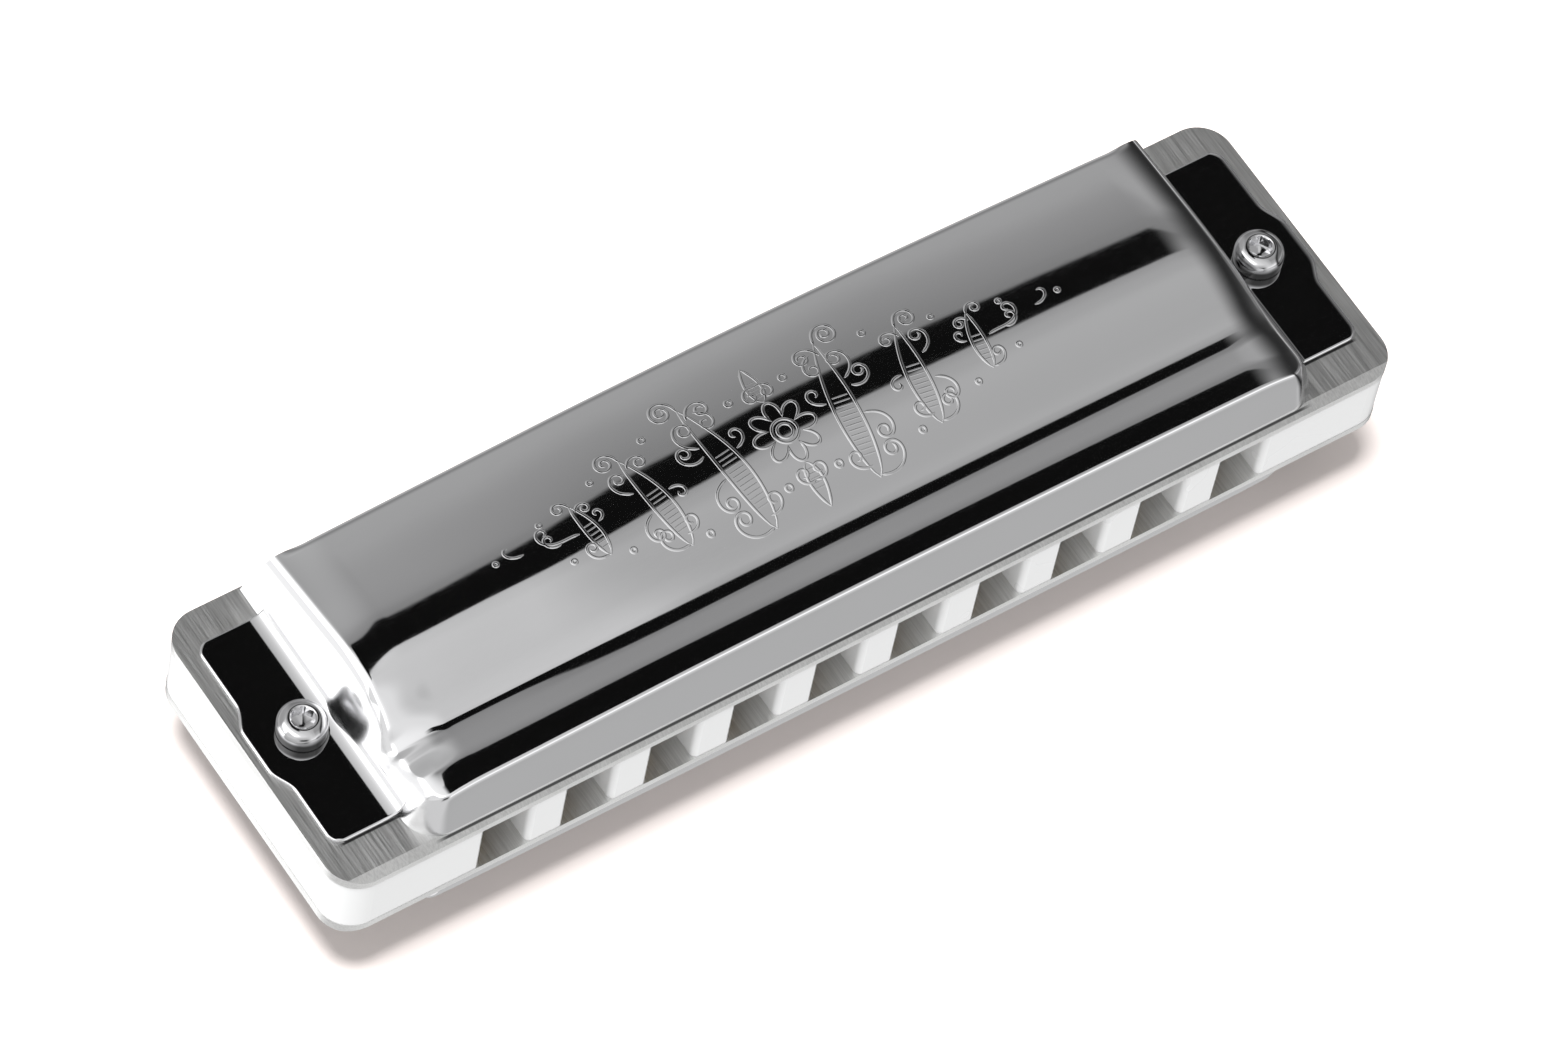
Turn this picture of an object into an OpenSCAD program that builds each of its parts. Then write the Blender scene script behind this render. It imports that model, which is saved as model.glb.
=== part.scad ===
// Ten-hole diatonic harmonica: plastic comb, two reed plates with twenty free reeds, two folded covers.
// Frame: X along the length (low notes at -X), Y from the mouth holes (-Y) to the open back (+Y), Z up.
// The origin is under the middle of the body, at the lowest point of the lower cover.

/* [Body] */
// Length of the comb and of the reed plates
body_l = 102; // [100:0.5:106]
// Depth of the comb, from the mouth edge to the back edge
body_w = 28; // [27:0.5:30]
// Height of the comb
comb_h = 5.75; // [5.5:0.25:7]
// Plan radius of the body's four corners
corner_r = 3; // [1:0.5:4]

/* [Mouth holes] */
// Distance from one hole to the next
hole_pitch = 7.9; // [7.7:0.1:8]
// Width of a hole and of the air chamber behind it
hole_w = 4.35; // [4.2:0.05:4.6]
// Radius on the upright edges between the holes
tine_r = 0.7; // [0.3:0.1:1]

/* [Reed plates] */
// Thickness of a reed plate
plate_t = 1; // [0.9:0.05:1.2]
// Width of the bevel along the mouth edge of a reed plate
bevel_w = 0.9; // [0.5:0.1:1.2]
// Depth of that bevel at the edge
bevel_d = 0.3; // [0.1:0.05:0.5]

/* [Reeds] */
// Free length of the reed in the lowest hole
reed_long = 15.5; // [14:0.5:16]
// Free length of the reed in the highest hole
reed_short = 9; // [8:0.5:11]
// Width of a reed's free tongue
reed_w = 2.4; // [2:0.1:2.6]
// Thickness of a reed's tongue
reed_t = 0.25; // [0.2:0.05:0.3]
// Air gap on each side of a tongue in its slot
reed_gap = 0.08; // [0.06:0.01:0.12]

/* [Covers] */
// Height of a cover's crown over its reed plate
cover_h = 6.5; // [6:0.25:7.5]
// Thickness of the cover's sheet steel
sheet_t = 0.4; // [0.3:0.05:0.5]
// Half length of the raised part of a cover, to the fold of its end wall
fold_x = 43.5; // [43:0.25:44]
// Half length of a cover over its screw tabs
tab_x = 49.55; // [49:0.05:50]
// Extra reach of a tab beside its screw
tab_bulge = 0.9; // [0:0.1:1]

/* [Fasteners] */
// Distance of a cover screw from the middle of the body
screw_x = 46.2; // [46:0.1:46.5]
// Place of a cover screw along the depth
screw_y = 0.2; // [0:0.1:1]
// Thread diameter of a cover screw
screw_d = 2.5; // [2:0.1:2.5]
// Head diameter of a cover screw
head_d = 4.2; // [3.8:0.1:4.6]
// Head height of a cover screw
head_h = 1.9; // [1.7:0.1:2.6]
// Hexagon across flats in a cover screw's head
socket_af = 2; // [1.5:0.1:2.2]

/* [Hidden] */
HOLES = 10;
$fn = 64;
eps = 0.01;

// Heights of the stack, from the lower cover's crown up
z_lower_plate = cover_h;
z_comb = z_lower_plate + plate_t;
z_upper_plate = z_comb + comb_h;
z_upper_cover = z_upper_plate + plate_t;

// Reeds and their slots
front_y = -body_w / 2;
back_y = body_w / 2;
blow_root_y = front_y + 5.6;      // root line of the blow reeds
draw_tip_y = front_y + 5;         // tip line of the draw reeds
tip_gap = 0.25;                   // slot length past a tip
root_gap = 0.06;                  // between a fixed pad and its tongue
pad_w = 3;
pad_l = 3;
pad_t = 0.35;
rivet_d = 1;
rivet_head_d = 1.7;
rivet_head_h = 0.35;
chamber_past_root = 3.4;          // room for a draw reed's rivet

// Cover cross-section, over the reed plate: a leaning face, a bead, a valley and a long crown
foot_y = front_y + 0.6;
face_a = 77;                      // slope of the front face
edge_r = 0.7;                     // bend from the front face to the bead
edge_a = 6.5;                     // slope where that bend ends
bead_r = 8;
bead_y = front_y + 3.15;          // crest of the bead
bead_back_a = 5;                  // slope down behind the bead
valley_r = 4;
valley_y = front_y + 6.75;
crown_y = 3.25;                   // the crown's highest line
rise_a = 19.5;                    // slope where the crown begins
crown_back_r = 100;
crown_start_y = valley_y + valley_r * sin(rise_a);
crown_r = (crown_y - crown_start_y) / sin(rise_a);
bead_end_y = bead_y + bead_r * sin(bead_back_a);
valley_start_y = valley_y - valley_r * sin(bead_back_a);
bead_drop = bead_r * (1 - cos(bead_back_a)) + (valley_start_y - bead_end_y) * tan(bead_back_a);
valley_rise = valley_r * (cos(bead_back_a) - cos(rise_a));
bead_z = cover_h + bead_drop - valley_rise - crown_r * (1 - cos(rise_a));
lip_r = 0.8;                      // rolled back edge
lip_a = 60;
back_top_y = back_y - 1.85;       // where the roll begins
back_foot_y = back_y - 0.2;       // foot of an end wall's back edge
wall_lean = 0.3;                  // an end wall's lean, length per height
end_r = 2.5;                      // bend between an end wall and the crown
cover_corner_r = 3;
tab_front_y = front_y + 4;
tab_back_y = back_y - 3.1;
tab_corner_r = 1.2;
fit = 0.1;                        // radial clearance of a screw in its holes
head_r = 0.8;                     // round shoulder of a cover screw's head
socket_depth = 1.2;
nut_af = 4.6;
nut_h = 2;

// Plate screws: three between the front chambers and four behind the chambers
plate_screw_d = 1.6;
plate_screw_head_d = 3;
plate_screw_head_h = 0.6;
plate_screw_places = concat(
    [for (k = [-1:1]) [k * 3 * hole_pitch, front_y + 3.5]],
    [for (k = [-1.5:1:1.5]) [k * 3 * hole_pitch, back_y - 2]]);

function hole_x(i) = (i - (HOLES + 1) / 2) * hole_pitch;
function reed_l(i) = reed_long + (reed_short - reed_long) * (i - 1) / (HOLES - 1);
function draw_root_y(i) = draw_tip_y + reed_l(i);

// A point on an arc of radius r round c, where the surface slopes by a; side is 1 on a crest, -1 in a valley
function arc_point(c, r, a, side) = [c[0] - side * r * sin(a), c[1] + side * r * cos(a)];
function arc(c, r, a0, a1, side, n) = [for (k = [0:n]) arc_point(c, r, a0 + (a1 - a0) * k / n, side)];

// The cover's skin from foot to rolled back edge, moved inward by d
function skin(d) =
    let (bead_c = [bead_y, bead_z - bead_r],
         edge_c = arc_point(bead_c, bead_r - edge_r, edge_a, 1),
         valley_c = [valley_y, bead_z - bead_drop + valley_r * cos(bead_back_a)],
         crown_c = [crown_y, cover_h - crown_r],
         back_c = [crown_y, cover_h - crown_back_r],
         back_a = -asin((back_top_y - crown_y) / crown_back_r),
         roll = arc_point(back_c, crown_back_r, back_a, 1),
         roll_c = [roll[0] + lip_r * sin(back_a), roll[1] - lip_r * cos(back_a)])
    concat(
        arc(edge_c, edge_r - d, face_a, edge_a, 1, 10),
        arc(bead_c, bead_r - d, edge_a - 1.5, -bead_back_a, 1, 6),
        arc(valley_c, valley_r + d, -bead_back_a, rise_a, -1, 6),
        arc(crown_c, crown_r - d, rise_a - 1, 0, 1, 10),
        arc(back_c, crown_back_r - d, back_a / 5, back_a, 1, 4),
        arc(roll_c, lip_r - d, back_a - 10, -lip_a, 1, 5));

// Where a line that leans like the front face, from point p, meets height z
function face_foot(p, z) = [p[0] - (p[1] - z) / tan(face_a), z];

module outer_profile() {
    path = skin(0);
    polygon(concat([face_foot(path[0], 0)], path, [[back_foot_y, 0]]));
}

module inner_profile() {
    path = skin(sheet_t);
    last = path[len(path) - 1];
    polygon(concat([face_foot(path[0], -1)], path, [[last[0], last[1]], [back_y + 9, last[1]], [back_y + 9, -1]]));
}

// Extrudes a profile drawn as (Y, Z) along X
module along_x(length) {
    rotate([90, 0, 90]) translate([0, 0, -length / 2]) linear_extrude(length) children();
}

// The cover seen from the mouth side: leaning end walls and rounded top corners, moved inward by d
module end_profile(d) {
    wall_a = atan(1 / wall_lean);
    r = end_r - d;
    top_x = fold_x - wall_lean * cover_h - end_r * tan(wall_a / 2);
    corner = arc([top_x, cover_h - end_r], r, 0, -wall_a, 1, 8);
    last = corner[len(corner) - 1];
    foot = [last[0] + wall_lean * (last[1] + 1), -1];
    half = concat(corner, [foot]);
    polygon(concat([for (p = half) p], [for (k = [len(half) - 1:-1:0]) [-half[k][0], half[k][1]]]));
}

// A leaning block with round front corners, moved inward by d
module front_corners(d) {
    hull() for (z = [-d, cover_h + 1]) {
        half_l = fold_x + 0.02 - wall_lean * z - d / sin(atan(1 / wall_lean));
        front = foot_y - 0.02 + z / tan(face_a) + d / sin(face_a);
        for (side = [-1, 1]) {
            translate([side * (half_l - cover_corner_r), front + cover_corner_r, z])
                cylinder(r = cover_corner_r - d, h = eps, $fn = 32);
            translate([side * (half_l - 0.5) - 0.5, back_y + 1, z]) cube([1, 9, eps]);
        }
    }
}

module tab_plan() {
    n = 12;
    soft = 2.6;
    reach = 3.2;
    function bulge(y) = let (s = max(0, min(1, (reach + soft / 2 - abs(y - screw_y)) / soft))) s * s * (3 - 2 * s);
    bulge_ys = [for (k = [-n:n]) screw_y + k / n * (reach + soft / 2)];
    intersection() {
        polygon(concat([[fold_x - 0.3, tab_front_y], [tab_x, tab_front_y]],
                       [for (y = bulge_ys) [tab_x + tab_bulge * bulge(y), y]],
                       [[tab_x, tab_back_y], [fold_x - 0.3, tab_back_y]]));
        union() {
            translate([fold_x - 1, tab_front_y + tab_corner_r])
                square([tab_x + 3 - fold_x, tab_back_y - tab_front_y - 2 * tab_corner_r]);
            translate([fold_x - 1, tab_front_y]) square([tab_x + 1 - fold_x - tab_corner_r, tab_back_y - tab_front_y]);
            for (y = [tab_front_y + tab_corner_r, tab_back_y - tab_corner_r])
                translate([tab_x - tab_corner_r, y]) circle(tab_corner_r);
        }
    }
}

// One cover, standing on z = 0
module cover() {
    difference() {
        union() {
            difference() {
                intersection() {
                    along_x(body_l) outer_profile();
                    rotate([90, 0, 0]) translate([0, 0, -back_y]) linear_extrude(body_w) end_profile(0);
                    front_corners(0);
                }
                intersection() {
                    along_x(body_l) inner_profile();
                    rotate([90, 0, 0]) translate([0, 0, -back_y - 2]) linear_extrude(body_w + 2) end_profile(sheet_t);
                    front_corners(sheet_t);
                }
            }
            for (side = [0, 1]) mirror([side, 0, 0]) linear_extrude(sheet_t) tab_plan();
        }
        for (side = [-1, 1]) translate([side * screw_x, screw_y, -1]) cylinder(d = screw_d + 2 * fit, h = 3);
    }
}

module upper_cover() {
    color("silver") translate([0, 0, z_upper_cover]) cover();
}

module lower_cover() {
    color("silver") translate([0, 0, z_lower_plate]) mirror([0, 0, 1]) cover();
}

module body_plan(inset) {
    r = corner_r - inset;
    intersection() {
        square([body_l - 2 * inset, body_w - 2 * inset], center = true);
        union() {
            square([body_l - 2 * corner_r, body_w], center = true);
            square([body_l, body_w - 2 * corner_r], center = true);
            for (sx = [-1, 1], sy = [-1, 1])
                translate([sx * (body_l / 2 - corner_r), sy * (body_w / 2 - corner_r)]) circle(r);
        }
    }
}

// Air chamber i in plan, with round edges at its mouth
module chamber_plan(i) {
    half = hole_w / 2;
    depth = draw_root_y(i) + chamber_past_root - front_y;
    translate([hole_x(i), front_y]) {
        translate([-half, -1]) square([hole_w, depth + 1]);
        difference() {
            translate([-half - tine_r, -1]) square([hole_w + 2 * tine_r, tine_r + 1]);
            for (side = [-1, 1]) translate([side * (half + tine_r), tine_r]) circle(tine_r);
        }
    }
}

module comb() {
    color("white") difference() {
        translate([0, 0, z_comb]) linear_extrude(comb_h) difference() {
            body_plan(0.05);
            for (i = [1:HOLES]) chamber_plan(i);
        }
        cover_screw_holes();
        plate_screw_holes(fit);
    }
}

module cover_screw_holes() {
    for (side = [-1, 1])
        translate([side * screw_x, screw_y, z_lower_plate - 1])
            cylinder(d = screw_d + 2 * fit, h = comb_h + 2 * plate_t + 2);
}

module plate_screw_holes(gap) {
    for (p = plate_screw_places)
        translate([p[0], p[1], z_lower_plate - 1])
            cylinder(d = plate_screw_d + 2 * gap, h = comb_h + 2 * plate_t + 2);
}

// Slot i for a tongue that lies between y0 and y0 + its length, cut through the plate at height z
module slot(i, y0, z) {
    translate([hole_x(i) - reed_w / 2 - reed_gap, y0, z - 1])
        cube([reed_w + 2 * reed_gap, reed_l(i) + tip_gap, plate_t + 2]);
}

module rivet_holes(ys, z) {
    for (i = [1:HOLES]) translate([hole_x(i), ys[i - 1], z - 1]) cylinder(d = rivet_d, h = plate_t + 2, $fn = 24);
}

// Takes the bevel off a plate's mouth edge; z is the plate's outer face and side points out of it
module bevel(z, side) {
    a = atan(bevel_d / bevel_w);
    translate([0, front_y + bevel_w, z]) rotate([side * a, 0, 0])
        translate([-body_l, -5, side > 0 ? 0 : -2]) cube([2 * body_l, 5, 2]);
}

blow_rivet_ys = [for (i = [1:HOLES]) blow_root_y - pad_l / 2];
draw_rivet_ys = [for (i = [1:HOLES]) draw_root_y(i) + pad_l / 2];

module upper_reed_plate() {
    color("lightgray") difference() {
        translate([0, 0, z_upper_plate]) linear_extrude(plate_t) body_plan(0);
        for (i = [1:HOLES]) slot(i, blow_root_y, z_upper_plate);
        rivet_holes(blow_rivet_ys, z_upper_plate);
        bevel(z_upper_cover, 1);
        cover_screw_holes();
        plate_screw_holes(fit);
    }
}

module lower_reed_plate() {
    color("lightgray") difference() {
        translate([0, 0, z_lower_plate]) linear_extrude(plate_t) body_plan(0);
        for (i = [1:HOLES]) slot(i, draw_tip_y - tip_gap, z_lower_plate);
        rivet_holes(draw_rivet_ys, z_lower_plate);
        bevel(z_lower_plate, -1);
        cover_screw_holes();
        plate_screw_holes(0);
    }
}

// Fixed ends of the reeds, riveted to their plate
module reed_pad(i, y, z) {
    translate([hole_x(i), y, z]) difference() {
        translate([-pad_w / 2, -pad_l / 2, 0]) cube([pad_w, pad_l, pad_t]);
        translate([0, 0, -1]) cylinder(d = rivet_d, h = 3, $fn = 24);
    }
}

module blow_reed_pads() {
    color("goldenrod") for (i = [1:HOLES]) reed_pad(i, blow_rivet_ys[i - 1], z_upper_plate - pad_t);
}

module draw_reed_pads() {
    color("goldenrod") for (i = [1:HOLES]) reed_pad(i, draw_rivet_ys[i - 1], z_lower_plate - pad_t);
}

// A rivet through one plate and one pad, with a round head at each end
module rivet(i, y, z_low, z_high) {
    translate([hole_x(i), y, 0]) {
        translate([0, 0, z_low - rivet_head_h]) cylinder(d = rivet_head_d, h = rivet_head_h, $fn = 24);
        translate([0, 0, z_low - eps]) cylinder(d = rivet_d, h = z_high - z_low + 2 * eps, $fn = 24);
        translate([0, 0, z_high]) cylinder(d = rivet_head_d, h = rivet_head_h, $fn = 24);
    }
}

module blow_reed_rivets() {
    color("khaki") for (i = [1:HOLES]) rivet(i, blow_rivet_ys[i - 1], z_upper_plate - pad_t, z_upper_cover);
}

module draw_reed_rivets() {
    color("khaki") for (i = [1:HOLES]) rivet(i, draw_rivet_ys[i - 1], z_lower_plate - pad_t, z_comb);
}

// Free tongue of a blow reed, under the upper plate
module blow_reed(i) {
    color("goldenrod")
        translate([hole_x(i) - reed_w / 2, blow_root_y + root_gap, z_upper_plate - reed_t])
            cube([reed_w, reed_l(i) - root_gap, reed_t]);
}

// Free tongue of a draw reed, under the lower plate
module draw_reed(i) {
    color("goldenrod")
        translate([hole_x(i) - reed_w / 2, draw_tip_y, z_lower_plate - reed_t])
            cube([reed_w, reed_l(i) - root_gap, reed_t]);
}

// Socket screws through both covers, both plates and the comb
module cover_screws() {
    under_head = z_upper_cover + sheet_t;
    shank_end = z_lower_plate - sheet_t - nut_h;
    color("gainsboro") for (side = [-1, 1]) translate([side * screw_x, screw_y, 0]) difference() {
        union() {
            translate([0, 0, under_head]) rotate_extrude() polygon(concat(
                [[0, 0], [head_d / 2, 0]],
                [for (a = [0:15:90]) [head_d / 2 - head_r * (1 - cos(a)), head_h - head_r * (1 - sin(a))]],
                [[0, head_h]]));
            translate([0, 0, shank_end]) cylinder(d = screw_d, h = under_head - shank_end + eps);
        }
        translate([0, 0, under_head + head_h - socket_depth])
            cylinder(d = socket_af / cos(30), h = socket_depth + 1, $fn = 6);
    }
}

// Hexagon nuts under the lower cover's tabs
module cover_nuts() {
    color("gainsboro") for (side = [-1, 1])
        translate([side * screw_x, screw_y, z_lower_plate - sheet_t - nut_h]) difference() {
            rotate(30) cylinder(d = nut_af / cos(30), h = nut_h, $fn = 6);
            translate([0, 0, -1]) cylinder(d = screw_d, h = nut_h + 2);
        }
}

// Small slotted screws that clamp both reed plates to the comb
module reed_plate_screws() {
    color("gray") for (p = plate_screw_places) translate([p[0], p[1], 0]) difference() {
        union() {
            translate([0, 0, z_upper_cover]) cylinder(d = plate_screw_head_d, h = plate_screw_head_h);
            translate([0, 0, z_lower_plate]) cylinder(d = plate_screw_d, h = z_upper_cover - z_lower_plate + eps);
        }
        translate([-2, -0.2, z_upper_cover + 0.3]) cube([4, 0.4, 1]);
    }
}

comb();
upper_reed_plate();
lower_reed_plate();
upper_cover();
lower_cover();
cover_screws();
cover_nuts();
reed_plate_screws();
blow_reed_pads();
draw_reed_pads();
blow_reed_rivets();
draw_reed_rivets();
for (i = [1:HOLES]) blow_reed(i);
for (i = [1:HOLES]) draw_reed(i);
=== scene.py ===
import math

import bmesh
import bpy
import numpy as np
from mathutils import Matrix, Vector, noise


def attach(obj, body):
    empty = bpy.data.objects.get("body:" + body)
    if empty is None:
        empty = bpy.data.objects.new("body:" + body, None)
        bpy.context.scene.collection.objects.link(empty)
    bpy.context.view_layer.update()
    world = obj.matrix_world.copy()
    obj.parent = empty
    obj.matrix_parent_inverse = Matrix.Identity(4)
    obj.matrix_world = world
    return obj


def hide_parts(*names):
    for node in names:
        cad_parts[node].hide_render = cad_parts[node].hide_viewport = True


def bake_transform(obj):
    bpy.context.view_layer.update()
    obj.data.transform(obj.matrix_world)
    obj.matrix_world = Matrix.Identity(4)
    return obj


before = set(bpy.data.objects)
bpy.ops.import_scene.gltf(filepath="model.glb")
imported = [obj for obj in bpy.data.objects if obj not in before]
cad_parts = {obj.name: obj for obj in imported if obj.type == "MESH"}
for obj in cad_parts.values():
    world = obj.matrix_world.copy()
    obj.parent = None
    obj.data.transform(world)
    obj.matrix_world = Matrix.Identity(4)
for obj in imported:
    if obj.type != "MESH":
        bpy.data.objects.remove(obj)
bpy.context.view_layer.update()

MM = 0.001
rad = math.radians

# ---------------------------------------------------------------- sizes, in millimetres, as in the CAD
FRONT_Y = -14.0                      # the mouth edge
Z_LOWER_PLATE, Z_COMB, Z_UPPER_PLATE, Z_UPPER_COVER = 6.5, 7.5, 13.25, 14.25
MID_Z = (Z_LOWER_PLATE + Z_UPPER_COVER) / 2
HOLES, PITCH = 10, 7.9
SHEET = 0.4
FOLD_X, FOOT_Y, BACK_FOOT_Y = 43.5, -13.4, 13.8
FACE_RUN, WALL_RUN = 0.231, 0.30     # how far the face and the end walls lean, per height
COVER_H, CREST_Y = 6.5, 1.7          # the crown's height, and its highest line in the middle
PLAN_R, PLAN_TAPER = 3.0, 0.28       # the corners' radius at the foot, and its loss per height
TAB_X, TAB_BULGE, TAB_FRONT, TAB_BACK, TAB_R = 49.55, 0.9, -10.0, 10.9, 1.2
SCREW_X, SCREW_Y, SCREW_R = 46.2, 0.2, 1.25
HEAD_R, HEAD_H, SOCKET_FLATS = 2.1, 1.9, 1.9
NUT_FLATS, NUT_CORNER_R, NUT_H = 4.6, 2.66, 2.0
REED_LONG, REED_SHORT, REED_W, REED_T = 15.5, 9.0, 2.4, 0.25
PAD_L, PAD_W, PAD_T = 3.0, 3.0, 0.35
BLOW_ROOT_Y, DRAW_TIP_Y = FRONT_Y + 5.6, FRONT_Y + 5.0


def smooth(t):
    """Smooth step from 0 at 0 to 1 at 1."""
    t = max(0.0, min(1.0, t))
    return t * t * (3 - 2 * t)


def lerp(a, b, t):
    return a + (b - a) * t


# ---------------------------------------------------------------- camera
LOOK_AT = Vector((-2.893, -2.332, 14.25))
DISTANCE, AZIMUTH, ELEVATION, ROLL = 800.63, rad(43.921), rad(57.012), rad(12.638)
SENSOR_WIDTH, LENS = 36, 231.81

forward = Vector((math.sin(AZIMUTH) * math.cos(ELEVATION), math.cos(AZIMUTH) * math.cos(ELEVATION),
                  -math.sin(ELEVATION)))
level = forward.cross(Vector((0, 0, 1))).normalized()
upright = level.cross(forward)
right = level * math.cos(ROLL) + upright * math.sin(ROLL)
up = upright * math.cos(ROLL) - level * math.sin(ROLL)
camera = bpy.data.objects.new("camera", bpy.data.cameras.new("camera"))
bpy.context.scene.collection.objects.link(camera)
turned = Matrix((right, up, -forward)).transposed().to_4x4()
camera.matrix_world = Matrix.Translation((LOOK_AT - forward * DISTANCE) * MM) @ turned
camera.data.sensor_width = SENSOR_WIDTH
camera.data.lens = LENS
camera.data.clip_start, camera.data.clip_end = 0.05, 50
bpy.context.scene.camera = camera


# ---------------------------------------------------------------- shader building
class Nodes:
    """Short names for building a node tree."""

    def __init__(self, tree):
        self.tree = tree

    def new(self, kind, **settings):
        node = self.tree.nodes.new("ShaderNode" + kind)
        for key, value in settings.items():
            setattr(node, key, value)
        return node

    def put(self, value, socket):
        if isinstance(value, bpy.types.NodeSocket):
            self.tree.links.new(value, socket)
        else:
            socket.default_value = value

    def math(self, operation, *values):
        node = self.new("Math", operation=operation)
        for value, socket in zip(values, node.inputs):
            self.put(value, socket)
        return node.outputs[0]

    def ramp(self, value, low, high, to_low=0.0, to_high=1.0):
        """Smooth step from to_low at low to to_high at high."""
        node = self.new("MapRange", interpolation_type="SMOOTHSTEP")
        for v, socket in zip((value, low, high, to_low, to_high), node.inputs):
            self.put(v, socket)
        return node.outputs[0]

    def mix(self, factor, first, second):
        node = self.new("Mix", data_type="RGBA")
        self.put(factor, node.inputs["Factor"])
        for value, socket in ((first, node.inputs[6]), (second, node.inputs[7])):
            self.put(value, socket)
        return node.outputs[2]

    def noise(self, place, scale, detail=4.0, rough=0.5):
        node = self.new("TexNoise")
        self.put(place, node.inputs["Vector"])
        for key, value in (("Scale", scale), ("Detail", detail), ("Roughness", rough)):
            node.inputs[key].default_value = value
        return node.outputs["Fac"]

    def place(self, scale=(1, 1, 1)):
        """Position on the object, in metres, stretched by scale."""
        coordinates = self.new("TexCoord")
        mapping = self.new("Mapping")
        self.put(coordinates.outputs["Object"], mapping.inputs["Vector"])
        mapping.inputs["Scale"].default_value = scale
        return mapping.outputs[0]

    def axes(self):
        """Position on the object, in metres, as three values."""
        split = self.new("SeparateXYZ")
        self.put(self.new("TexCoord").outputs["Object"], split.inputs[0])
        return split.outputs

    def bump(self, height, distance):
        node = self.new("Bump")
        node.inputs["Distance"].default_value = distance
        node.inputs["Strength"].default_value = 1.0
        self.put(height, node.inputs["Height"])
        return node.outputs[0]


def grey(v):
    return (v, v, v, 1)


def material(name, build):
    m = bpy.data.materials.new(name)
    m.use_nodes = True
    nodes = Nodes(m.node_tree)
    build(nodes, m.node_tree.nodes["Principled BSDF"])
    return m


def polished(base, low, high, wave):
    """Bright polished metal with fine wiping marks and a little unevenness."""
    def build(n, shader):
        shader.inputs["Metallic"].default_value = 1
        marks = n.noise(n.place((1, 9, 9)), 900, 3, 0.6)
        cloud = n.noise(n.place(), 120, 3)
        n.put(n.mix(cloud, (*[c * 0.97 for c in base], 1), (*base, 1)), shader.inputs["Base Color"])
        n.put(n.ramp(marks, 0.35, 0.75, low, high), shader.inputs["Roughness"])
        n.put(n.bump(n.noise(n.place(), 160, 2), wave * MM), shader.inputs["Normal"])
    return build


def brushed(base, fine, rough, along="Y"):
    """Ground metal with straight grain."""
    def build(n, shader):
        stretch = (60, 1, 60) if along == "Y" else (1, 60, 60)
        shader.inputs["Metallic"].default_value = 1
        grain = n.noise(n.place(stretch), 130, 5, 0.7)
        blotch = n.noise(n.place((2, 1, 1)), 90, 4)
        tone = n.math("MULTIPLY_ADD", blotch, 0.35, n.math("MULTIPLY", grain, 0.65))
        dark = (*[c * 0.72 for c in base], 1)
        n.put(n.mix(n.ramp(tone, 0.3, 0.7), dark, (*base, 1)), shader.inputs["Base Color"])
        n.put(n.ramp(grain, 0.3, 0.7, rough - 0.06, rough + 0.1), shader.inputs["Roughness"])
        n.put(n.bump(grain, fine * MM), shader.inputs["Normal"])
    return build


def plate_metal(n, shader):
    """Ground plate metal, with a painted contact shadow: a dark line of painted shade where a cover stands on it.
    """
    brushed((0.86, 0.86, 0.85), 0.006, 0.34)(n, shader)
    ground = shader.inputs["Base Color"].links[0].from_socket
    x, y, z = n.axes()
    x = n.math("ABSOLUTE", x)
    outside = n.ramp(n.math("ABSOLUTE", n.math("SUBTRACT", z, MID_Z * MM)), 3.5 * MM, 3.7 * MM)

    def line(edge_y, reach, end, full):
        """Painted shade along X just in front of edge_y, out to reach; it is full up to one X and gone at the
        end.
        """
        off = n.math("ABSOLUTE", n.math("ADD", y, (0.05 - edge_y) * MM))
        return n.math("MULTIPLY", n.ramp(off, reach * MM, 0.06 * MM), n.ramp(x, end * MM, full * MM))

    # Painted shade: a dark grey contact shadow is painted on the plates' outer faces, along the covers' foot and
    # the tabs' front edges.
    painted_contact_shade = n.math("MAXIMUM", line(FOOT_Y, 0.16, 42.5, 41.0), line(TAB_FRONT, 0.18, 49.2, 48.6))
    n.put(n.mix(n.math("MULTIPLY", painted_contact_shade, outside), ground, grey(0.12)), shader.inputs["Base Color"])


def screw_metal(n, shader):
    """Polished steel. The outer side of an upper screw's head darkens towards its foot: painted shade that stands
    in for the dark reflections on the head's lower side.
    """
    polished((0.66, 0.66, 0.67), 0.06, 0.12, 0.002)(n, shader)
    unshaded_steel = shader.inputs["Base Color"].links[0].from_socket
    x, y, z = n.axes()
    x = n.math("SUBTRACT", n.math("ABSOLUTE", x), SCREW_X * MM)
    y = n.math("SUBTRACT", y, SCREW_Y * MM)
    out = n.math("SQRT", n.math("MULTIPLY_ADD", x, x, n.math("MULTIPLY", y, y)))
    side = n.ramp(out, 1.3 * MM, 1.6 * MM)
    low = n.ramp(z, (Z_UPPER_COVER + 1.9) * MM, (Z_UPPER_COVER + 1.1) * MM)
    upper = n.ramp(z, (MID_Z - 1) * MM, MID_Z * MM)
    # Painted shade: the lower outer side of each upper head is painted almost black.
    dark = n.math("MULTIPLY", side, n.math("MULTIPLY", low, upper))
    n.put(n.mix(dark, unshaded_steel, grey(0.025)), shader.inputs["Base Color"])


def plastic(base, rough):
    """Moulded plastic with a faint mould texture and flow clouds."""
    def build(n, shader):
        cloud = n.noise(n.place(), 60, 3)
        skin = n.noise(n.place(), 2500, 2)
        n.put(n.mix(cloud, (*[c * 0.96 for c in base], 1), (*base, 1)), shader.inputs["Base Color"])
        n.put(n.ramp(cloud, 0.3, 0.7, rough, rough + 0.06), shader.inputs["Roughness"])
        n.put(n.bump(skin, 0.004 * MM), shader.inputs["Normal"])
        shader.inputs["Coat Weight"].default_value = 0.25
        shader.inputs["Coat Roughness"].default_value = 0.12
    return build


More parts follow.
